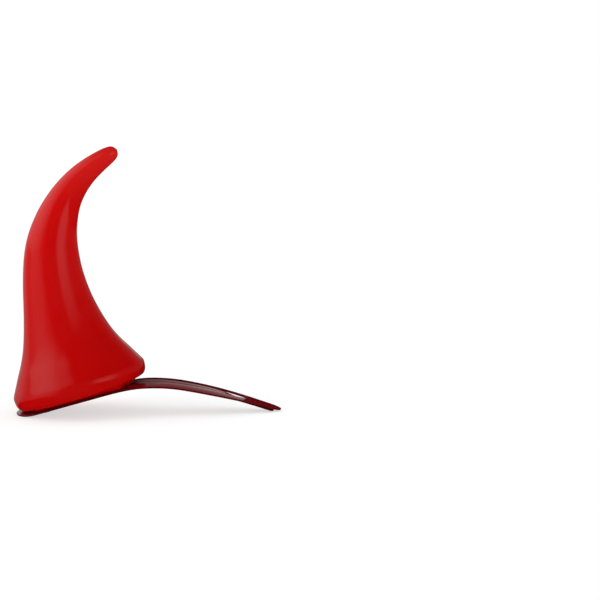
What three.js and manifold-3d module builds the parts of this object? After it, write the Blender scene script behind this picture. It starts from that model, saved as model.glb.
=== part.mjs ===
// Devil horn hair clip: a hollow plastic horn standing on a sprung snap clip of painted sheet steel.
// Millimetres, +Z up. +X runs from the clip's wide end to its narrow tip.

import * as THREE from 'three';
import { mergeVertices } from 'three/addons/utils/BufferGeometryUtils.js';
import Module from 'manifold-3d';

const wasm = await Module();
wasm.setup();

// Clip frame: the outer sheet, two legs between a bridge at the wide end and a plate at the tip

const clipLength = 61.4;
const clipHalfWidth = 7.6;
const frameSheet = 0.4;
const crownDrop = 0.8;
const legWidth = 2.6;
const bridgeLength = 9.4;
const tipPlateLength = 7.2;
const wideEndRounding = 5.5;
const tipRounding = 2.6;

// Tongue: the inner strip, riveted under the bridge, its free end held under the tip plate

const tongueSheet = 0.4;
const tongueHalfWidth = 3.3;
const tongueSetBack = 4.6;
const tongueTipSetBack = 1.5;
const tongueEndRounding = 1.2;
const bendLineFromEnd = 10;

// Rivets that hold the tongue's root to the bridge

const rivetFromEnd = 7.2;
const rivetSpacing = 4;
const rivetShankRadius = 0.6;
const rivetHeadRadius = 1.2;
const rivetHeadHeight = 0.35;
const rivetTopStep = 0.05;

// Horn: a closed shell, round in section, curved to its tip. A rimFullness of 1 makes the rim elliptic,
// and more than that makes it squarer

const hornLength = 61;
const rimRadius = 15.2;
const baseRadius = 13.6;
const rimHeight = 2.9;
const rimFullness = 1.25;
const hornDepthShare = 0.96;
const hornWall = 1.2;
const hornSetBack = 0.4;
const ventRadius = 1.5;

// Gap between pieces that touch

const fit = 0.3;

// Shape tables: lengths are shares of the size named beside each

// Arch of the clip along clipLength: heading in degrees from the straight seat at the wide end
const arch = [
  { along: 0, heading: 0 },
  { along: 0.33, heading: 0 },
  { along: 0.43, heading: -5 },
  { along: 0.5, heading: -14.5 },
  { along: 0.57, heading: -20.5 },
  { along: 0.65, heading: -26.3 },
  { along: 0.72, heading: -28.7 },
  { along: 0.8, heading: -31 },
  { along: 0.88, heading: -32.4 },
  { along: 1, heading: -33.7 },
];

// Outline of the clip along clipLength: half as a share of clipHalfWidth, before the ends are rounded
const outline = [
  { along: 0, half: 1 },
  { along: 0.14, half: 1 },
  { along: 0.3, half: 1 },
  { along: 0.45, half: 0.97 },
  { along: 0.6, half: 0.85 },
  { along: 0.72, half: 0.76 },
  { along: 0.82, half: 0.6 },
  { along: 0.92, half: 0.38 },
  { along: 1, half: 0.26 },
];

// Tongue along clipLength: rise as a share of the way from under the frame up to its own level,
// half as a share of tongueHalfWidth
const tongue = [
  { along: 0, rise: 0, half: 1 },
  { along: 0.164, rise: 0, half: 1 },
  { along: 0.235, rise: 0.3, half: 1 },
  { along: 0.33, rise: 0.3, half: 0.98 },
  { along: 0.62, rise: 0.42, half: 0.84 },
  { along: 0.77, rise: 0.52, half: 0.62 },
  { along: 0.845, rise: 0, half: 0.47 },
  { along: 1, rise: 0, half: 0.45 },
];

// Axis of the horn along hornLength: heading in degrees from the seat, 90 being square to it
const hornAxis = [
  { along: 0, heading: 91 },
  { along: 0.15, heading: 89.7 },
  { along: 0.3, heading: 87.3 },
  { along: 0.4, heading: 83.3 },
  { along: 0.5, heading: 76 },
  { along: 0.6, heading: 63.3 },
  { along: 0.7, heading: 50.8 },
  { along: 0.8, heading: 35.3 },
  { along: 0.9, heading: 21.6 },
  { along: 1, heading: 15 },
];

// Sections of the horn along hornLength above its rim: radius as a share of rimRadius
const hornSections = [
  { along: 0.062, radius: 0.975 },
  { along: 0.08, radius: 0.934 },
  { along: 0.12, radius: 0.845 },
  { along: 0.16, radius: 0.753 },
  { along: 0.21, radius: 0.663 },
  { along: 0.27, radius: 0.586 },
  { along: 0.35, radius: 0.509 },
  { along: 0.45, radius: 0.442 },
  { along: 0.55, radius: 0.386 },
  { along: 0.65, radius: 0.312 },
  { along: 0.75, radius: 0.237 },
  { along: 0.85, radius: 0.181 },
  { along: 0.93, radius: 0.142 },
  { along: 0.96, radius: 0.125 },
  { along: 0.982, radius: 0.1 },
  { along: 0.993, radius: 0.068 },
  { along: 1, radius: 0.006 },
];

const hornSegments = 48;
const cavitySegments = 32;

// Value of one column of a table at a share of its length, on a smooth line through the rows
function column(rows, name, along) {
  const last = rows.length - 1;
  if (along <= rows[0].along) {
    return rows[0][name];
  }
  if (along >= rows[last].along) {
    return rows[last][name];
  }
  const i = rows.findIndex((row) => row.along > along) - 1;
  const slope = (a, b) => (rows[b][name] - rows[a][name]) / (rows[b].along - rows[a].along);
  const step = rows[i + 1].along - rows[i].along;
  const here = slope(i, i + 1);
  const tangent = (a, b) => (a < 0 || b > last ? here : harmonic(slope(a, a + 1), slope(b - 1, b)));
  const u = (along - rows[i].along) / step;
  const start = tangent(i - 1, i + 1) * step;
  const end = tangent(i, i + 2) * step;
  const rise = rows[i + 1][name] - rows[i][name];
  return rows[i][name] + u * start + u * u * (3 * rise - 2 * start - end)
    + u * u * u * (start + end - 2 * rise);
}

// Mean of two slopes that never overshoots: zero where they differ in sign
function harmonic(a, b) {
  return a * b > 0 ? (2 * a * b) / (a + b) : 0;
}

// Walk along a line of given length whose heading follows a table: x, z and heading in radians
function walk(rows, length) {
  const steps = 240;
  const points = [{ x: 0, z: 0, heading: THREE.MathUtils.degToRad(rows[0].heading) }];
  for (let i = 1; i <= steps; i += 1) {
    const before = points[i - 1];
    const heading = THREE.MathUtils.degToRad(column(rows, 'heading', i / steps));
    const middle = (before.heading + heading) / 2;
    points.push({
      x: before.x + (Math.cos(middle) * length) / steps,
      z: before.z + (Math.sin(middle) * length) / steps,
      heading,
    });
  }
  return (distance) => {
    const place = THREE.MathUtils.clamp((distance / length) * steps, 0, steps);
    const i = Math.min(Math.floor(place), steps - 1);
    const share = place - i;
    return {
      x: THREE.MathUtils.lerp(points[i].x, points[i + 1].x, share),
      z: THREE.MathUtils.lerp(points[i].z, points[i + 1].z, share),
      heading: THREE.MathUtils.lerp(points[i].heading, points[i + 1].heading, share),
    };
  };
}

const archAt = walk(arch, clipLength);
const hornAt = walk(hornAxis, hornLength);

// Closed solid through rings of points: each ring has the same count, and flat ends close it
function skin(rings) {
  const count = rings[0].length;
  const positions = rings.flat();
  const index = [];
  for (let r = 0; r + 1 < rings.length; r += 1) {
    for (let k = 0; k < count; k += 1) {
      const a = r * count + k;
      const b = r * count + ((k + 1) % count);
      index.push(a, b, b + count, a, b + count, a + count);
    }
  }
  [0, rings.length - 1].forEach((r) => {
    const middle = new THREE.Vector3();
    rings[r].forEach((point) => middle.addScaledVector(point, 1 / count));
    positions.push(middle);
    for (let k = 0; k < count; k += 1) {
      const a = r * count + k;
      const b = r * count + ((k + 1) % count);
      index.push(...(r === 0 ? [b, a, positions.length - 1] : [a, b, positions.length - 1]));
    }
  });
  const geometry = new THREE.BufferGeometry().setFromPoints(positions);
  geometry.setIndex(index);
  return geometry;
}

function toSolid(geometry) {
  const position = geometry.getAttribute('position');
  return new wasm.Manifold(new wasm.Mesh({
    numProp: 3,
    vertProperties: new Float32Array(position.array),
    triVerts: new Uint32Array(geometry.getIndex().array),
  }));
}

function toGeometry(solid) {
  const mesh = solid.getMesh();
  const geometry = new THREE.BufferGeometry();
  geometry.setAttribute('position', new THREE.BufferAttribute(new Float32Array(mesh.vertProperties), 3));
  geometry.setIndex(new THREE.BufferAttribute(new Uint32Array(mesh.triVerts), 1));
  return geometry;
}

// Closed mesh of a shape from the library: shared points merged, the empty faces on an axis left out
function closed(shape) {
  shape.deleteAttribute('normal');
  shape.deleteAttribute('uv');
  const merged = mergeVertices(shape, 1e-5);
  const corners = Array.from(merged.getIndex().array);
  const index = [];
  for (let i = 0; i < corners.length; i += 3) {
    const [a, b, c] = corners.slice(i, i + 3);
    if (a !== b && b !== c && c !== a) {
      index.push(a, b, c);
    }
  }
  merged.setIndex(index);
  return merged;
}

// Closed solid of a profile turned about the Z axis; its points run up from the axis back to the axis
function turned(profile, segments) {
  const points = profile.map(([radius, z]) => new THREE.Vector2(radius, z));
  return closed(new THREE.LatheGeometry(points, segments).rotateX(Math.PI / 2));
}

// Strip of sheet that follows the arch: across is split in columns, drop(y) bends its edges down
function strip({ stations, half, thickness, lift, drop, columns }) {
  const rings = stations.map((s) => {
    const at = archAt(s);
    const ring = [];
    const place = (y, height) => new THREE.Vector3(
      at.x - Math.sin(at.heading) * height,
      y,
      at.z + Math.cos(at.heading) * height,
    );
    for (let side = 1; side >= -1; side -= 2) {
      for (let c = 0; c <= columns; c += 1) {
        const y = half(s) * side * (1 - (2 * c) / columns);
        ring.push(place(y, lift(s) - drop(y) + (side * thickness) / 2));
      }
    }
    return ring;
  });
  return skin(rings);
}

// Stations from one end to the other, closer together where an end is rounded
function stationsBetween(from, to, count, startRounding, endRounding) {
  const roundSteps = [10, 25, 45, 67];
  const ease = roundSteps.map((degrees) => 1 - Math.cos(THREE.MathUtils.degToRad(degrees)));
  const first = startRounding ? ease.map((share) => from + share * startRounding) : [];
  const final = endRounding ? ease.map((share) => to - share * endRounding).reverse() : [];
  const low = from + startRounding;
  const high = to - endRounding;
  const middle = Array.from({ length: count + 1 }, (_, i) => low + ((high - low) * i) / count);
  return [...first, ...middle, ...final];
}

// How much an elliptic rounding narrows a strip at a distance from its end
function rounding(distance, length) {
  const share = THREE.MathUtils.clamp(1 - distance / length, 0, 1);
  return Math.sqrt(1 - share * share);
}

const level = () => 0;
const crown = (y) => crownDrop * (y / clipHalfWidth) ** 2;

const bodyHalf = (s) => clipHalfWidth * column(outline, 'half', s / clipLength);
const frameHalf = (s) => bodyHalf(s) * rounding(s, wideEndRounding)
  * rounding(clipLength - s, tipRounding);

// Rivet places, in pairs across the seat

const rivetPlaces = [
  { name: 'rivet_near', x: rivetFromEnd, y: -rivetSpacing / 2 },
  { name: 'rivet_far', x: rivetFromEnd, y: rivetSpacing / 2 },
];
const rivetHoles = rivetPlaces.map(({ x, y }) => {
  const cut = 3 * (frameSheet + tongueSheet + fit);
  const radius = rivetShankRadius + fit;
  const hole = turned([[0, -cut], [radius, -cut], [radius, cut], [0, cut]], 16);
  return toSolid(hole.translate(x, y, 0));
});

// Frame

const openingStart = bridgeLength;
const openingEnd = clipLength - tipPlateLength;
const openingCorner = legWidth / 4;
const openingTaper = legWidth;
const openingHalf = (s) => (bodyHalf(s) - legWidth) * rounding(s - openingStart, openingCorner)
  * rounding(openingEnd - s, openingTaper);

function makeFrame() {
  const plate = strip({
    stations: stationsBetween(0, clipLength, 34, wideEndRounding, tipRounding),
    half: frameHalf,
    thickness: frameSheet,
    lift: level,
    drop: crown,
    columns: 8,
  });
  const opening = strip({
    stations: stationsBetween(openingStart, openingEnd, 24, openingCorner, openingTaper),
    half: openingHalf,
    thickness: 4 * (frameSheet + crownDrop),
    lift: level,
    drop: level,
    columns: 1,
  });
  const sheet = rivetHoles.reduce((solid, hole) => solid.subtract(hole), toSolid(plate));
  return toGeometry(sheet.subtract(toSolid(opening)));
}

// Tongue: its root under the bridge and its blade, parted at the line where the strip bends

const underFrame = -(frameSheet + tongueSheet) / 2 - fit;
const tongueEnd = clipLength - tongueTipSetBack;
const tongueLift = (s) => underFrame * (1 - column(tongue, 'rise', s / clipLength));
const tongueHalf = (s) => tongueHalfWidth * column(tongue, 'half', s / clipLength)
  * rounding(s - tongueSetBack, tongueEndRounding) * rounding(tongueEnd - s, tongueEndRounding);

function makeTongueRoot() {
  const plate = strip({
    stations: stationsBetween(tongueSetBack, bendLineFromEnd - fit / 2, 4, tongueEndRounding, 0),
    half: tongueHalf,
    thickness: tongueSheet,
    lift: tongueLift,
    drop: level,
    columns: 2,
  });
  return toGeometry(rivetHoles.reduce((solid, hole) => solid.subtract(hole), toSolid(plate)));
}

function makeTongueBlade() {
  return strip({
    stations: stationsBetween(bendLineFromEnd + fit / 2, tongueEnd, 30, 0, tongueEndRounding),
    half: tongueHalf,
    thickness: tongueSheet,
    lift: tongueLift,
    drop: level,
    columns: 2,
  });
}

// Rivet: a flat head under the tongue's root and a shank up to the frame's top face

function makeRivet({ x, y }) {
  const headTop = underFrame - tongueSheet / 2 - fit;
  const shankTop = frameSheet / 2 - rivetTopStep - crown(y);
  const profile = [
    [0, headTop - rivetHeadHeight],
    [rivetHeadRadius, headTop - rivetHeadHeight],
    [rivetHeadRadius, headTop],
    [rivetShankRadius, headTop],
    [rivetShankRadius, shankTop],
    [0, shankTop],
  ];
  return turned(profile, 16).translate(x, y, 0);
}

// Horn: an outer skin and a cavity on one axis, with a flat base and a small vent through it

const hornFoot = { x: hornSetBack + rimRadius, z: frameSheet / 2 + fit };

function hornRing({ distance, radius, segments }) {
  const at = hornAt(distance);
  return Array.from({ length: segments }, (_, k) => {
    const angle = (k / segments) * 2 * Math.PI;
    const out = radius * Math.cos(angle);
    return new THREE.Vector3(
      hornFoot.x + at.x + Math.sin(at.heading) * out,
      radius * hornDepthShare * Math.sin(angle),
      hornFoot.z + at.z - Math.cos(at.heading) * out,
    );
  });
}

// Rounded rim between the flat base and the widest section
const rimSections = [0, 14, 30, 48, 68].map((degrees) => {
  const angle = THREE.MathUtils.degToRad(degrees);
  const out = Math.sin(angle) ** (1 / rimFullness);
  const up = 1 - Math.cos(angle) ** (1 / rimFullness);
  return {
    along: (rimHeight * up) / hornLength,
    radius: (baseRadius + (rimRadius - baseRadius) * out) / rimRadius,
  };
});
const sections = [...rimSections, { along: rimHeight / hornLength, radius: 1 }, ...hornSections];
const hornRadius = (along) => rimRadius * column(sections, 'radius', along);

function makeHorn() {
  const between = (from, to, count) => Array.from({ length: count }, (_, i) => (
    THREE.MathUtils.lerp(from, to, i / count)));
  const flareRows = hornSections.slice(0, 2).map((row) => row.along);
  const tipRows = hornSections.slice(-5).map((row) => row.along);
  const outerAlong = [
    ...rimSections.map((row) => row.along),
    rimHeight / hornLength,
    flareRows[0],
    ...between(flareRows[1], 0.3, 9),
    ...between(0.3, tipRows[0], 13),
    ...tipRows,
  ];
  const outer = skin(outerAlong.map((along) => hornRing({
    distance: along * hornLength,
    radius: hornRadius(along),
    segments: hornSegments,
  })));
  const cavityAlong = [
    hornWall / hornLength,
    ...between(rimHeight / hornLength, 0.3, 6),
    ...between(0.3, tipRows[0], 9),
  ];
  const cavity = skin(cavityAlong.map((along) => hornRing({
    distance: along * hornLength,
    radius: hornRadius(along) - hornWall,
    segments: cavitySegments,
  })));
  const ventProfile = [[0, -hornWall], [ventRadius, -hornWall], [ventRadius, rimHeight], [0, rimHeight]];
  const vent = turned(ventProfile, 20);
  return toGeometry(toSolid(outer)
    .subtract(toSolid(cavity))
    .subtract(toSolid(vent.translate(hornFoot.x, 0, hornFoot.z))));
}

// Materials

function finish(name, color, roughness, metalness) {
  return new THREE.MeshStandardMaterial({ name, color, roughness, metalness });
}

function piece(name, geometry, material) {
  const mesh = new THREE.Mesh(geometry, material);
  mesh.name = name;
  return mesh;
}

const hornPlastic = () => finish('horn_plastic', '#bd1210', 0.25, 0);
const clipPaint = () => finish('clip_paint', '#6a1116', 0.35, 0.1);

const clip = new THREE.Group();
clip.add(
  piece('horn', makeHorn(), hornPlastic()),
  piece('clip_frame', makeFrame(), clipPaint()),
  piece('tongue_root', makeTongueRoot(), clipPaint()),
  piece('tongue_blade', makeTongueBlade(), clipPaint()),
  ...rivetPlaces.map((place) => piece(place.name, makeRivet(place), clipPaint())),
);

// Stand the clip as it rests by itself: turn it about Y until the two lowest places on either side
// of the horn's foot are level

function restTurn() {
  const points = [];
  clip.children.forEach((mesh) => {
    const position = mesh.geometry.getAttribute('position');
    for (let i = 0; i < position.count; i += 1) {
      points.push({ x: position.getX(i), z: position.getZ(i) });
    }
  });
  points.sort((a, b) => a.x - b.x || a.z - b.z);
  const hull = [];
  points.forEach((p) => {
    const turn = (a, b) => (b.x - a.x) * (p.z - a.z) - (b.z - a.z) * (p.x - a.x);
    while (hull.length > 1 && turn(hull[hull.length - 2], hull[hull.length - 1]) <= 0) {
      hull.pop();
    }
    hull.push(p);
  });
  const i = hull.findIndex((p) => p.x > hornFoot.x);
  return Math.atan2(hull[i].z - hull[i - 1].z, hull[i].x - hull[i - 1].x);
}

clip.rotation.y = restTurn();
clip.updateMatrixWorld(true);

// Origin under the middle of the box around the whole, on the surface it stands on

const box = new THREE.Box3().setFromObject(clip, true);
clip.position.set(-(box.min.x + box.max.x) / 2, -(box.min.y + box.max.y) / 2, -box.min.z);

const part = new THREE.Group();
part.add(clip);

export default part;
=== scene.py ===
# Devil horn hair clip: fine skins, finishes, studio light and camera around the imported part.
# Metres. The pieces are built in the clip's seat frame: +X runs from the wide end to the narrow tip,
# +Z is square to the flat seat, and the origin is in the middle of the frame sheet at the wide end.
# The arch, the outline, the horn's axis and its sections are rounded from a least-squares fit to the
# photograph's outline, with some rows then changed. So is the camera's place, unrounded.

import math

import bmesh
import bpy
import numpy as np
from mathutils import Matrix, Vector


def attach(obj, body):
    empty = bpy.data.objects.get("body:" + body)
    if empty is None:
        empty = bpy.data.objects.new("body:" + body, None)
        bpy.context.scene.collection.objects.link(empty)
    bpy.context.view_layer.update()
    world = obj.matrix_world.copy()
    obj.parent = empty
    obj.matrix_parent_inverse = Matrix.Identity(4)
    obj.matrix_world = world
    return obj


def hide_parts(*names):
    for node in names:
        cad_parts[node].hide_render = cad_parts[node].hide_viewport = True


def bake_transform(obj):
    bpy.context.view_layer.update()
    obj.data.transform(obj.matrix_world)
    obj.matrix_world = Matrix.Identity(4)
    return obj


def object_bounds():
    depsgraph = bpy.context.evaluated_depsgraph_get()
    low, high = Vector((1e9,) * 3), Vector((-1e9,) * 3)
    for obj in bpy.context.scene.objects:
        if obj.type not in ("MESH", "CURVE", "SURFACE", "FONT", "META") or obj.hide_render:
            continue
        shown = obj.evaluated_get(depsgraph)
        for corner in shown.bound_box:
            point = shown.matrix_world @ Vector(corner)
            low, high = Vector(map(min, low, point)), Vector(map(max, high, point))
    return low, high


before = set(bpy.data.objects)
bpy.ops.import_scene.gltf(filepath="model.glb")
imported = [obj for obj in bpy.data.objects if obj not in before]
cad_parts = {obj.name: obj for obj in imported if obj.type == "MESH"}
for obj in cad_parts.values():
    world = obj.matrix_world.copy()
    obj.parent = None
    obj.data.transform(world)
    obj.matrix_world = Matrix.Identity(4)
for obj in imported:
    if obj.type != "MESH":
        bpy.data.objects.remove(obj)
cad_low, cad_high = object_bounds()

mm = 0.001


def table(names, *rows):
    """A table as one array for each named column."""
    return dict(zip(names.split(), np.array(rows, float).T))


# Sizes of the clip frame, as the part has them

clip_length = 61.4 * mm
clip_half_width = 7.6 * mm
frame_sheet = 0.4 * mm
crown_drop = 0.8 * mm
leg_width = 2.6 * mm
bridge_length = 9.4 * mm
tip_plate_length = 7.2 * mm
wide_end_rounding = 5.5 * mm
tip_rounding = 2.6 * mm

# Sizes of the tongue and its rivets

tongue_sheet = 0.4 * mm
tongue_half_width = 3.3 * mm
tongue_set_back = 4.6 * mm
tongue_tip_set_back = 1.5 * mm
tongue_end_rounding = 1.2 * mm
rivet_from_end = 7.2 * mm
rivet_spacing = 4 * mm
rivet_shank_radius = 0.6 * mm
rivet_head_radius = 1.2 * mm
rivet_head_height = 0.35 * mm
rivet_top_step = 0.05 * mm

# Sizes of the horn. A rim_fullness of 1 makes the rim's section elliptic, and more makes it squarer.

horn_length = 61 * mm
rim_radius = 15.2 * mm
base_radius = 13.6 * mm
rim_height = 2.9 * mm
rim_fullness = 1.25
horn_depth_share = 0.96
horn_wall = 1.2 * mm
cavity_top = 0.87 * horn_length
tip_share = 0.1
horn_set_back = 0.4 * mm
vent_radius = 1.5 * mm

# Gap between pieces that touch, and the rounding of the cut and moulded edges

fit = 0.3 * mm
sheet_edge_rounding = 0.1 * mm
rivet_edge_rounding = 0.15 * mm
vent_edge_rounding = 0.3 * mm

# Bed of the horn on the clip: the gap left there, the slopes down to it from the vent and the rim, and the
# slope down to it from the clip's sides

bed_gap = 0.02 * mm
bed_slope = 1.2 * mm
bed_side_slope = 0.5 * mm

# Arch of the clip along clip_length: heading in degrees from the straight seat
arch = table(
    "along heading",
    (0, 0),
    (0.33, 0),
    (0.43, -5),
    (0.5, -14.5),
    (0.57, -20.5),
    (0.65, -26.3),
    (0.72, -28.7),
    (0.8, -31),
    (0.88, -32.4),
    (1, -33.7),
)

# Outline of the clip along clip_length: half as a share of clip_half_width
outline = table(
    "along half",
    (0, 1),
    (0.14, 1),
    (0.3, 1),
    (0.45, 0.97),
    (0.6, 0.85),
    (0.72, 0.76),
    (0.82, 0.6),
    (0.92, 0.38),
    (1, 0.26),
)

# Tongue along clip_length: rise as a share of the way from under the frame up to its level,
# half as a share of tongue_half_width
tongue = table(
    "along rise half",
    (0, 0, 1),
    (0.164, 0, 1),
    (0.235, 0.3, 1),
    (0.33, 0.3, 0.98),
    (0.62, 0.42, 0.84),
    (0.77, 0.52, 0.62),
    (0.845, 0, 0.47),
    (1, 0, 0.45),
)

# Axis of the horn along horn_length: heading in degrees from the seat
horn_axis = table(
    "along heading",
    (0, 91),
    (0.15, 89.7),
    (0.3, 87.3),
    (0.4, 83.3),
    (0.5, 76),
    (0.6, 63.3),
    (0.7, 50.8),
    (0.8, 35.3),
    (0.9, 21.6),
    (1, 15),
)

# Sections of the horn along horn_length: radius as a share of rim_radius, first at the flat base and at
# the widest place
horn_sections = table(
    "along radius",
    (0, base_radius / rim_radius),
    (rim_height / horn_length, 1),
    (0.062, 0.975),
    (0.08, 0.934),
    (0.12, 0.845),
    (0.16, 0.753),
    (0.21, 0.663),
    (0.27, 0.586),
    (0.35, 0.509),
    (0.45, 0.442),
    (0.55, 0.386),
    (0.65, 0.312),
    (0.75, 0.237),
    (0.85, 0.181),
    (0.93, 0.142),
    (0.96, 0.125),
    (0.982, 0.1),
    (0.993, 0.068),
    (1, 0.006),
)

# How finely the skins are divided

horn_segments = 160
cavity_steps = 40
base_steps = 36
body_steps = 130
arc_steps = 24
floor_segments = 96
card_steps = 48
rivet_segments = 40
end_steps = 14
side_steps = 90
sheet_columns = 5


def column(rows, name, along):
    """A column at shares of the table's length, on the same smooth line through the rows as the part's."""
    x = rows["along"]
    y = rows[name]
    slope = np.diff(y) / np.diff(x)
    before = slope[:-1]
    after = slope[1:]
    same_sign = before * after > 0
    total = np.where(same_sign, before + after, 1)
    inner = np.where(same_sign, 2 * before * after / total, 0)
    tangent = np.concatenate([slope[:1], inner, slope[-1:]])
    place = np.clip(along, x[0], x[-1])
    i = np.clip(np.searchsorted(x, place, side="right") - 1, 0, len(x) - 2)
    step = x[i + 1] - x[i]
    u = (place - x[i]) / step
    start = tangent[i] * step
    end = tangent[i + 1] * step
    rise = y[i + 1] - y[i]
    return y[i] + u * start + u**2 * (3 * rise - 2 * start - end) + u**3 * (start + end - 2 * rise)


def walk(rows, length):
    """The line of that length whose heading follows a table: distance -> x, z and heading in radians."""
    steps = 240
    share = np.linspace(0, 1, steps + 1)
    heading = np.radians(column(rows, "heading", share))
    middle = (heading[1:] + heading[:-1]) / 2
    x = np.concatenate([[0], np.cumsum(np.cos(middle)) * length / steps])
    z = np.concatenate([[0], np.cumsum(np.sin(middle)) * length / steps])
    lines = (x, z, heading)
    return lambda distance: [np.interp(np.asarray(distance) / length, share, line) for line in lines]


arch_at = walk(arch, clip_length)
horn_at = walk(horn_axis, horn_length)

under_frame = -(frame_sheet + tongue_sheet) / 2 - fit


def crown(y):
    return crown_drop * (y / clip_half_width) ** 2


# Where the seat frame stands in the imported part: the flat root of the tongue gives its turn, and a rivet
# its place


def vertices(node):
    return np.array([v.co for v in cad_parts[node].data.vertices], float)


def seat_matrix():
    root = vertices("tongue_root")
    spread = root - root.mean(axis=0)
    normal = Vector(np.linalg.svd(spread, full_matrices=False)[2][2])
    if normal.z < 0:
        normal.negate()
    side = Vector((0, 1, 0))
    along = side.cross(normal).normalized()
    rivet = vertices("rivet_far")
    shank_top = frame_sheet / 2 - rivet_top_step - crown(rivet_spacing / 2)
    x = (rivet @ np.array(along)).mean() - rivet_from_end
    z = (rivet @ np.array(normal)).max() - shank_top
    turn = Matrix((along, side, normal)).transposed().to_4x4()
    return Matrix.Translation(along * x + normal * z) @ turn


seat = seat_matrix()


# Meshes


def write_points(mesh, name, values):
    """Stores one value for each point of a mesh, for a material to read."""
    attribute = mesh.attributes.new(name, "FLOAT", "POINT")
    attribute.data.foreach_set("value", values.astype(np.float32).ravel())


def make_piece(name, points, faces, material, slot, nodes, cut=None):
    """A closed mesh in the part's frame with smooth shading, from points in the seat frame. cut holds a 1
    for each point on a cut edge of sheet."""
    mesh = bpy.data.meshes.new(name)
    mesh.from_pydata([tuple(p) for p in points], [], faces)
    if cut is not None:
        write_points(mesh, "cut", cut)
    work = bmesh.new()
    work.from_mesh(mesh)
    bmesh.ops.remove_doubles(work, verts=work.verts, dist=0.0005 * mm)
    bmesh.ops.dissolve_degenerate(work, edges=work.edges, dist=0.0002 * mm)
    bmesh.ops.recalc_face_normals(work, faces=work.faces)
    work.to_mesh(mesh)
    work.free()
    mesh.transform(seat)
    mesh.shade_smooth()
    mesh.materials.append(material)
    piece = bpy.data.objects.new(name, mesh)
    bpy.context.scene.collection.objects.link(piece)
    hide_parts(*nodes)
    return piece


def loft(rings, around=False):
    """Points and faces of a skin through rings of one count; around joins the last ring to the first."""
    rings = np.asarray(rings)
    rows, count = rings.shape[:2]
    faces = []
    for r in range(rows if around else rows - 1):
        after = (r + 1) % rows
        for k in range(count):
            beside = (k + 1) % count
            faces.append((r * count + k, r * count + beside, after * count + beside, after * count + k))
    return rings.reshape(-1, 3), faces


def rounded(corners, radius, steps=5):
    """The line through the corners with each inner one turned into an arc."""
    corners = np.array(corners, float)
    line = [corners[0]]
    for before, corner, after in zip(corners, corners[1:], corners[2:]):
        start = corner + (before - corner) / np.linalg.norm(before - corner) * radius
        end = corner + (after - corner) / np.linalg.norm(after - corner) * radius
        for t in np.linspace(0, 1, steps):
            line.append((1 - t) ** 2 * start + 2 * t * (1 - t) * corner + t**2 * end)
    line.append(corners[-1])
    return np.array(line)


def outline_loop(start, end, start_round, end_round, half):
    """A loop round a strip as points (distance, y): both ends are rounded elliptically."""
    angle = np.linspace(0, math.pi / 2, end_steps + 1)
    first = start + start_round * (1 - np.cos(angle))
    last = end - end_round * (1 - np.cos(angle[::-1]))
    middle = np.linspace(start + start_round, end - end_round, side_steps)[1:-1]
    distance = np.concatenate([first, middle, last])
    share = np.concatenate([np.sin(angle), np.ones(len(middle)), np.sin(angle[::-1])])
    y = half(distance) * share
    far = np.stack([distance, y], axis=1)
    near = np.stack([distance[-2:0:-1], -y[-2:0:-1]], axis=1)
    return np.concatenate([far, near])


def sheet_rings(outer, inner, thickness, lift, drop, inner_edge):
    """Rings of a sheet that fills the band between two loops of points (distance, y) and follows the arch,
    and which of their points lie on a cut edge."""
    support = 2 * sheet_edge_rounding
    half = thickness / 2
    edge = rounded([(support, -half), (0, -half), (0, half), (support, half)], sheet_edge_rounding)
    share = np.linspace(0, 1, sheet_columns + 2)[1:-1]
    level = np.full(len(share), half)
    if inner_edge:
        inside = (np.ones(len(edge)), -edge[::-1, 0], edge[::-1, 1])
    else:
        inside = (np.ones(2), np.zeros(2), np.array([half, -half]))
    parts = [
        (np.zeros(len(edge)), edge[:, 0], edge[:, 1]),
        (share, np.zeros(len(share)), level),
        inside,
        (share[::-1], np.zeros(len(share)), -level),
    ]
    share, offset, height = (np.concatenate(column_parts) for column_parts in zip(*parts))
    cut = np.tile(np.abs(height) < 0.98 * half, (len(outer), 1))
    across = inner - outer
    width = np.linalg.norm(across, axis=1, keepdims=True)
    place = share * width + offset
    at = outer[:, None, :] + across[:, None, :] / width[:, None, :] * place[:, :, None]
    x, z, heading = arch_at(at[..., 0])
    up = lift(at[..., 0]) - drop(at[..., 1]) + height
    rings = np.stack([x - np.sin(heading) * up, at[..., 1], z + np.cos(heading) * up], axis=-1)
    return rings, cut


def turned(profile, segments, x, y):
    """Rings of a profile of points (radius, z) turned about an upright axis."""
    angle = np.linspace(0, 2 * math.pi, segments, endpoint=False)
    radius = profile[:, 0][:, None]
    z = np.repeat(profile[:, 1][:, None], segments, axis=1)
    return np.stack([x + radius * np.cos(angle), y + radius * np.sin(angle), z], axis=-1)


# Materials


def new_material(name):
    material = bpy.data.materials.new(name)
    material.use_nodes = True
    nodes = material.node_tree.nodes
    return material, nodes, material.node_tree.links, nodes["Principled BSDF"]


def add_noise(nodes, links, scale, detail, roughness=0.5):
    """Noise in metres of the object, so that it keeps its size whatever the piece."""
    coordinates = nodes.new("ShaderNodeTexCoord")
    noise = nodes.new("ShaderNodeTexNoise")
    noise.inputs["Scale"].default_value = scale
    noise.inputs["Detail"].default_value = detail
    noise.inputs["Roughness"].default_value = roughness
    links.new(coordinates.outputs["Object"], noise.inputs["Vector"])
    return noise.outputs["Fac"]


def add_range(nodes, links, value, low, high):
    """A noise value spread between two numbers."""
    spread = nodes.new("ShaderNodeMapRange")
    spread.inputs["From Min"].default_value = 0.3
    spread.inputs["From Max"].default_value = 0.7
    spread.inputs["To Min"].default_value = low
    spread.inputs["To Max"].default_value = high
    links.new(value, spread.inputs["Value"])
    return spread.outputs["Result"]


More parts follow.
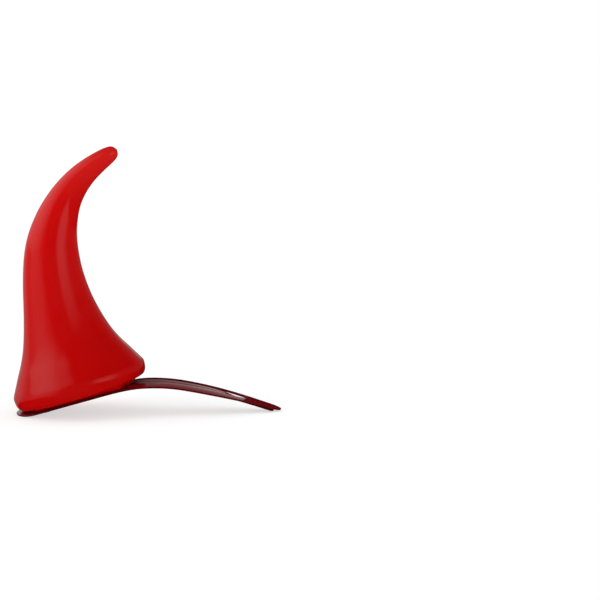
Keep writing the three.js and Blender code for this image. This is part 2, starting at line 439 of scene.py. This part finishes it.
def add_height(nodes, links, cloud):
    """Share of the way up the horn, with a little of the noise in it."""
    coordinates = nodes.new("ShaderNodeTexCoord")
    split = nodes.new("ShaderNodeSeparateXYZ")
    links.new(coordinates.outputs["Object"], split.inputs["Vector"])
    share = nodes.new("ShaderNodeMapRange")
    share.inputs["From Max"].default_value = cad_high[2]
    links.new(split.outputs["Z"], share.inputs["Value"])
    mix = nodes.new("ShaderNodeMix")
    mix.inputs["Factor"].default_value = 0.06
    links.new(share.outputs["Result"], mix.inputs["A"])
    links.new(cloud, mix.inputs["B"])
    return mix.outputs["Result"]


def add_bump(nodes, links, height, depth, below=None):
    """Relief of a depth in metres, on top of the relief below it."""
    bump = nodes.new("ShaderNodeBump")
    bump.inputs["Strength"].default_value = 1
    bump.inputs["Distance"].default_value = depth
    links.new(height, bump.inputs["Height"])
    if below is not None:
        links.new(below, bump.inputs["Normal"])
    return bump.outputs["Normal"]


def add_tint(nodes, links, value, low, high):
    """A colour between two, by a noise value."""
    mix = nodes.new("ShaderNodeMix")
    mix.data_type = "RGBA"
    mix.inputs["A"].default_value = (*low, 1)
    mix.inputs["B"].default_value = (*high, 1)
    links.new(value, mix.inputs["Factor"])
    return mix.outputs["Result"]


def horn_plastic():
    """Glossy moulded plastic: a clear red with painted shade and light, darker at the foot and lighter
    towards the tip, where a painted sheen makes it pinker, with faint waves and orange peel.
    """
    material, nodes, links, shader = new_material("horn_plastic")
    cloud = add_noise(nodes, links, scale=60, detail=2)
    # Painted light and shade by height: the red is darker at the foot and lighter towards the tip, with a
    # painted sheen at the tip.
    tint = nodes.new("ShaderNodeValToRGB")
    stops = tint.color_ramp.elements
    stops[0].color = (*horn_colour_painted_shade_foot, 1)
    stops[1].color = (*horn_colour_painted_sheen_tip, 1)
    stops.new(horn_neck_share).color = (*horn_colour_painted_light_neck, 1)
    links.new(add_height(nodes, links, cloud), tint.inputs["Fac"])
    links.new(tint.outputs["Color"], shader.inputs["Base Color"])
    rub = add_noise(nodes, links, scale=220, detail=5, roughness=0.6)
    links.new(add_range(nodes, links, rub, 0.09, 0.13), shader.inputs["Roughness"])
    waves = add_bump(nodes, links, add_noise(nodes, links, scale=110, detail=1), 0.03 * mm)
    peel = add_bump(nodes, links, add_noise(nodes, links, scale=1500, detail=2), 0.0006 * mm, waves)
    links.new(peel, shader.inputs["Normal"])
    shader.inputs["IOR"].default_value = 1.47
    return material


def clip_paint():
    """Dark red lacquer on sheet steel, with a little orange peel, and darker along the cut edges."""
    material, nodes, links, shader = new_material("clip_paint")
    cloud = add_noise(nodes, links, scale=150, detail=3)
    tint = add_tint(nodes, links, add_range(nodes, links, cloud, 0, 1), paint_colour_low, paint_colour_high)
    cut = nodes.new("ShaderNodeAttribute")
    cut.attribute_name = "cut"
    edged = nodes.new("ShaderNodeMix")
    edged.data_type = "RGBA"
    edged.inputs["B"].default_value = (*paint_colour_edge, 1)
    links.new(cut.outputs["Fac"], edged.inputs["Factor"])
    links.new(tint, edged.inputs["A"])
    links.new(edged.outputs["Result"], shader.inputs["Base Color"])
    rub = add_noise(nodes, links, scale=400, detail=4, roughness=0.6)
    links.new(add_range(nodes, links, rub, 0.09, 0.15), shader.inputs["Roughness"])
    waves = add_bump(nodes, links, add_noise(nodes, links, scale=180, detail=1), 0.008 * mm)
    peel = add_bump(nodes, links, add_noise(nodes, links, scale=2500, detail=2), 0.0005 * mm, waves)
    links.new(peel, shader.inputs["Normal"])
    shader.inputs["IOR"].default_value = 1.5
    return material


# Colours: the horn's red with painted shade at its foot, painted light past its neck and a painted sheen at
# its tip, and the lacquer, darker along its cut edges

horn_neck_share = 0.78
horn_colour_painted_shade_foot = (0.43, 0.0003, 0.0003)
horn_colour_painted_light_neck = (0.56, 0.001, 0.0009)
horn_colour_painted_sheen_tip = (0.61, 0.013, 0.011)
paint_colour_low = (0.17, 0.0026, 0.0045)
paint_colour_high = (0.2, 0.0034, 0.0055)
paint_colour_edge = (0.085, 0.002, 0.003)

horn_material = horn_plastic()
clip_material = clip_paint()


# Horn: one skin from the top of the cavity down its wall, out through the vent and up to the tip


def horn_radius(distance):
    """Radius of the outer skin: a rounded rim, then the table's sections."""
    power = 2 * rim_fullness
    share = np.clip(1 - distance / rim_height, 0, 1)
    rim = base_radius + (rim_radius - base_radius) * (1 - share**power) ** (1 / power)
    above = rim_radius * column(horn_sections, "radius", distance / horn_length)
    return np.where(distance < rim_height, rim, above)


def bed_down(rings, profile):
    """Draws the flat underside down onto the arched and crowned clip, so that the horn stands on it."""
    under = profile[:, 1] == 0
    radius = profile[under, 0][:, None]
    along, across, height = rings[under].transpose(2, 0, 1)
    from_vent = (radius - 3 * vent_radius) / bed_slope
    from_rim = (base_radius - 2 * vent_edge_rounding - radius) / bed_slope
    from_side = (clip_half_width - np.abs(across)) / bed_side_slope
    share = np.clip(np.minimum(np.minimum(from_vent, from_rim), from_side), 0, 1)
    bed = frame_sheet / 2 + bed_gap + arch_at(along)[1] - crown(across)
    rings[under, :, 2] += share * (bed - height)


def make_horn():
    angle = np.linspace(0, math.pi / 2, arc_steps)
    inner_distance = np.linspace(cavity_top, horn_wall + vent_edge_rounding, cavity_steps)
    inner_skin = np.stack([horn_radius(inner_distance) - horn_wall, inner_distance], axis=1)
    inner_corner = horn_radius(np.array([horn_wall]))[0] - horn_wall
    floor_and_vent = rounded(
        [
            inner_skin[-1],
            (inner_corner, horn_wall),
            (vent_radius, horn_wall),
            (vent_radius, 0),
            (2 * vent_radius, 0),
        ],
        vent_edge_rounding,
    )
    base_start = 3 * vent_radius
    base_end = base_radius - 2 * vent_edge_rounding
    base = [(radius, 0) for radius in np.linspace(base_start, base_end, base_steps)]
    rim_out = np.sin(angle) ** (1 / rim_fullness)
    rim_up = 1 - np.cos(angle) ** (1 / rim_fullness)
    rim = np.stack([base_radius + (rim_radius - base_radius) * rim_out, rim_height * rim_up], axis=1)
    body = np.linspace(rim_height, (1 - tip_share) * horn_length, body_steps)[1:]
    tip = horn_length * (1 - tip_share + tip_share * np.sin(angle[1:]))
    outer = np.concatenate([body, tip])
    outer_skin = np.stack([horn_radius(outer), outer], axis=1)
    profile = np.concatenate([
        [(0, cavity_top)],
        inner_skin[:-1],
        floor_and_vent,
        base,
        rim,
        outer_skin,
        [(0, horn_length)],
    ])
    x, z, heading = (line[:, None] for line in horn_at(profile[:, 1]))
    turn = np.linspace(0, 2 * math.pi, horn_segments, endpoint=False)
    out = profile[:, 0][:, None] * np.cos(turn)
    across = profile[:, 0][:, None] * horn_depth_share * np.sin(turn)
    foot_x = horn_set_back + rim_radius
    foot_z = frame_sheet / 2 + fit
    along = foot_x + x + np.sin(heading) * out
    height = foot_z + z - np.cos(heading) * out
    rings = np.stack([along, across, height], axis=-1)
    bed_down(rings, profile)
    return make_piece("horn_skin", *loft(rings), horn_material, "horn_plastic", ["horn"])


# Clip frame: the band between its outline and its opening


def body_half(distance):
    return clip_half_width * column(outline, "half", distance / clip_length)


def make_frame():
    nodes = ["clip_frame"]
    outer = outline_loop(0, clip_length, wide_end_rounding, tip_rounding, body_half)
    opening = outline_loop(
        bridge_length,
        clip_length - tip_plate_length,
        leg_width / 4,
        leg_width,
        lambda distance: body_half(distance) - leg_width,
    )
    rings, cut = sheet_rings(outer, opening, frame_sheet, lambda s: 0 * s, crown, inner_edge=True)
    return make_piece("frame_skin", *loft(rings, around=True), clip_material, "clip_paint", nodes, cut)


# Tongue: root and blade as the one strip that they are


def tongue_lift(distance):
    return under_frame * (1 - column(tongue, "rise", distance / clip_length))


def tongue_half(distance):
    return tongue_half_width * column(tongue, "half", distance / clip_length)


def make_tongue():
    start = tongue_set_back
    end = clip_length - tongue_tip_set_back
    outer = outline_loop(start, end, tongue_end_rounding, tongue_end_rounding, tongue_half)
    middle = np.stack([
        np.clip(outer[:, 0], start + tongue_end_rounding, end - tongue_end_rounding),
        0 * outer[:, 1],
    ], axis=1)
    rings, cut = sheet_rings(outer, middle, tongue_sheet, tongue_lift, lambda y: 0 * y, inner_edge=False)
    nodes = ["tongue_root", "tongue_blade"]
    return make_piece("tongue_strip", *loft(rings, around=True), clip_material, "clip_paint", nodes, cut)


# Rivets: flat heads with a rounded edge under the tongue's root


def make_rivet(node, y):
    head_top = under_frame - tongue_sheet / 2 - fit
    shank_top = frame_sheet / 2 - rivet_top_step - crown(y)
    profile = rounded(
        [
            (0, head_top - rivet_head_height),
            (rivet_head_radius, head_top - rivet_head_height),
            (rivet_head_radius, head_top),
            (rivet_shank_radius, head_top),
            (rivet_shank_radius, shank_top),
            (0, shank_top),
        ],
        rivet_edge_rounding,
    )
    rings = turned(profile, rivet_segments, rivet_from_end, y)
    return make_piece(node + "_head", *loft(rings), clip_material, "clip_paint", [node])


for piece in (
    make_horn(),
    make_frame(),
    make_rivet("rivet_near", -rivet_spacing / 2),
    make_rivet("rivet_far", rivet_spacing / 2),
):
    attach(piece, "horn_and_frame")

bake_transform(make_tongue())


# Stage: a pale floor that curves up into a round backdrop and glows a little. The camera and the matt
# shading see the floor and the world, and reflections see only the cards.

camera_azimuth = 1.521
camera_elevation = 5.611
camera_roll = -0.697
camera_distance = 376.085 * mm
camera_right = 34.305 * mm
camera_up = 25.229 * mm
camera_lens = 100

floor_radius = 1.6
backdrop_radius = 2.6
backdrop_height = 2.2
floor_grey = 0.48
floor_glow = 0.6
world_pale = 0.7
world_dark = 0.005
light_aim = Vector((-15 * mm, 0, 45 * mm))


def direction(bearing, elevation=0):
    """A unit vector from the object, by degrees to the right of the camera and degrees above the floor."""
    turn = math.radians(camera_azimuth + bearing)
    rise = math.radians(elevation)
    return Vector((math.sin(turn) * math.cos(rise), -math.cos(turn) * math.cos(rise), math.sin(rise)))


def floor_paint():
    """Pale matt paint that glows a little, so that shadows on it stay faint."""
    material, _, _, shader = new_material("pale_floor")
    shader.inputs["Base Color"].default_value = (floor_grey, floor_grey, floor_grey, 1)
    shader.inputs["Roughness"].default_value = 0.9
    shader.inputs["Specular IOR Level"].default_value = 0
    shader.inputs["Emission Color"].default_value = (1, 1, 1, 1)
    shader.inputs["Emission Strength"].default_value = floor_glow
    return material


def card_glow():
    """Light of the strength that each point of a card holds in its glow attribute."""
    material = bpy.data.materials.new("card_glow")
    material.use_nodes = True
    nodes = material.node_tree.nodes
    links = material.node_tree.links
    nodes.clear()
    strength = nodes.new("ShaderNodeAttribute")
    strength.attribute_name = "glow"
    emission = nodes.new("ShaderNodeEmission")
    output = nodes.new("ShaderNodeOutputMaterial")
    links.new(strength.outputs["Fac"], emission.inputs["Strength"])
    links.new(emission.outputs["Emission"], output.inputs["Surface"])
    return material


def stage_object(name, points, faces, material, glossy_only):
    """A thing that isn't part of the object. Reflections see only the cards, and all else only the floor."""
    mesh = bpy.data.meshes.new(name)
    mesh.from_pydata([tuple(p) for p in points], [], faces)
    mesh.shade_smooth()
    mesh.materials.append(material)
    thing = bpy.data.objects.new(name, mesh)
    bpy.context.scene.collection.objects.link(thing)
    thing.visible_camera = not glossy_only
    thing.visible_diffuse = not glossy_only
    thing.visible_shadow = not glossy_only
    thing.visible_glossy = glossy_only
    return thing


def make_floor():
    angle = np.linspace(0, math.pi / 2, arc_steps)
    curve = backdrop_radius - floor_radius
    radius = np.concatenate([[0, 0.4, 1.0], floor_radius + curve * np.sin(angle), [backdrop_radius]])
    height = np.concatenate([[0, 0, 0], curve * (1 - np.cos(angle)), [backdrop_height]])
    rings = turned(np.stack([radius, height], axis=1), floor_segments, 0, 0)
    return stage_object("floor", *loft(rings), floor_paint(), glossy_only=False)


def make_card(name, distance, bearings, heights, lean=0):
    """A curved card round the object that only reflections see. Its glow is a share by bearing in degrees
    times a strength by height in metres, and a lean moves it to the left by so many degrees for each metre
    of height. The shares and strengths were worked out from the reflected light measured in the photograph,
    so that reflections fall as they do there, and then adjusted."""
    bearings = np.array(bearings, float)
    heights = np.array(heights, float)
    row_length = card_steps + 1
    bearing, up = np.meshgrid(
        np.linspace(bearings[0, 0], bearings[-1, 0], row_length),
        np.linspace(heights[0, 0], heights[-1, 0], row_length),
    )
    glow = np.interp(bearing, *bearings.T) * np.interp(up, *heights.T)
    turn = np.radians(camera_azimuth + bearing - lean * up)
    points = np.stack([distance * np.sin(turn), -distance * np.cos(turn), up], axis=-1)
    corners = [row * row_length + k for row in range(card_steps) for k in range(card_steps)]
    faces = [(a, a + 1, a + 1 + row_length, a + row_length) for a in corners]
    card = stage_object(name, points.reshape(-1, 3), faces, card_material, glossy_only=True)
    write_points(card.data, "glow", glow)
    return card


def make_flag():
    """A small black card behind the clip's tip, so that the tip plate reflects nothing bright."""
    far = 4 * mm
    corners = [(22.5, 0), (31, 0), (31, 4), (22.5, 8.5)]
    points = [(x * mm, far, z * mm) for x, z in corners]
    return stage_object("flag", points, [(0, 1, 2, 3)], card_material, glossy_only=True)


card_material = card_glow()
make_floor()
make_card(
    "card_left_low",
    0.3,
    bearings=[
        (-132, 0.7),
        (-114, 0.6),
        (-104, 0.35),
        (-92, 0.4),
        (-80, 0.75),
        (-52, 0.75),
        (-42, 0.6),
        (-27, 0),
    ],
    heights=[(-0.1, 0.3), (0, 0.4), (0.075, 0.48)],
)
make_card(
    "card_left_high",
    0.3,
    bearings=[(-132, 0), (-124, 1), (-84, 1), (-70, 0.78), (-58, 0.65), (-46, 0.42), (-38, 0.2), (-28, 0)],
    heights=[(0.075, 0.45), (0.12, 0.7), (0.17, 0.92), (0.245, 0.92)],
)
make_card(
    "card_left_top",
    0.3,
    bearings=[(-132, 0), (-124, 1), (-92, 1), (-76, 0.78), (-60, 0.55), (-40, 0.44), (-33, 0.34), (-22, 0)],
    heights=[(0.245, 0.92), (0.36, 0.92), (0.5, 0)],
)
make_card(
    "card_right",
    0.45,
    bearings=[(24, 0), (30, 0.6), (38, 1), (58, 1), (68, 0.5), (80, 0.1), (130, 0.1), (170, 0.25)],
    heights=[(0, 0.56), (0.12, 0.55), (0.3, 0.2), (0.4, 0)],
    lean=30,
)
make_card(
    "card_left_back",
    0.45,
    bearings=[(-172, 0), (-165, 1), (-150, 1), (-132, 0.8)],
    heights=[(-0.15, 0.2), (0, 0.28), (0.04, 0.5), (0.25, 0.6), (0.35, 0)],
)
make_card(
    "card_back_low",
    1.2,
    bearings=[(165, 0), (170, 1), (176, 1), (178, 0.8), (180, 0.4), (186, 0.2), (194, 0)],
    heights=[(0.1, 0), (0.18, 0.66), (0.3, 0.66)],
)
make_card(
    "card_back_high",
    1.2,
    bearings=[(165, 0), (170, 1), (186, 1), (194, 0)],
    heights=[(0.3, 0.66), (0.44, 0.36), (0.56, 0.16), (0.7, 0.1), (0.9, 0)],
)
make_flag()


def make_world():
    """Pale light from all round for the camera and the matt shading, and near darkness for reflections."""
    world = bpy.data.worlds.new("studio")
    bpy.context.scene.world = world
    world.use_nodes = True
    nodes = world.node_tree.nodes
    links = world.node_tree.links
    nodes.clear()
    path = nodes.new("ShaderNodeLightPath")
    pale = nodes.new("ShaderNodeBackground")
    pale.inputs["Strength"].default_value = world_pale
    dark = nodes.new("ShaderNodeBackground")
    dark.inputs["Strength"].default_value = world_dark
    mix = nodes.new("ShaderNodeMixShader")
    output = nodes.new("ShaderNodeOutputWorld")
    for background in (pale, dark):
        background.inputs["Color"].default_value = (1, 1, 1, 1)
    links.new(path.outputs["Is Glossy Ray"], mix.inputs["Fac"])
    links.new(pale.outputs["Background"], mix.inputs[1])
    links.new(dark.outputs["Background"], mix.inputs[2])
    links.new(mix.outputs["Shader"], output.inputs["Surface"])


def make_light(name, bearing, elevation, distance, size, power):
    """A soft square light that aims at the horn's upper half; its shape doesn't show in reflections."""
    data = bpy.data.lights.new(name, "AREA")
    data.shape = "SQUARE"
    data.size = size
    data.energy = power
    light = bpy.data.objects.new(name, data)
    bpy.context.scene.collection.objects.link(light)
    away = direction(bearing, elevation)
    light.location = light_aim + away * distance
    light.rotation_mode = "QUATERNION"
    light.rotation_quaternion = away.to_track_quat("Z", "Y")
    light.visible_glossy = False
    return light


def make_camera():
    """The camera at the photograph's angle, with its small roll and with the part in the same place."""
    back = direction(0, camera_elevation)
    right = Vector((0, 0, 1)).cross(back).normalized()
    up = back.cross(right)
    roll = math.radians(camera_roll)
    turned_right = right * math.cos(roll) + up * math.sin(roll)
    turned_up = up * math.cos(roll) - right * math.sin(roll)
    data = bpy.data.cameras.new("camera")
    data.lens = camera_lens
    data.sensor_width = 36
    data.clip_start = 0.01
    data.clip_end = 20
    camera = bpy.data.objects.new("camera", data)
    bpy.context.scene.collection.objects.link(camera)
    place = turned_right * camera_right + turned_up * camera_up + back * camera_distance
    turn = Matrix((turned_right, turned_up, back)).transposed().to_4x4()
    camera.matrix_world = Matrix.Translation(place) @ turn
    bpy.context.scene.camera = camera


make_world()
make_light("key", bearing=-68, elevation=18, distance=0.2, size=0.1, power=0.095)
make_camera()
bpy.context.scene.view_settings.view_transform = "Standard"
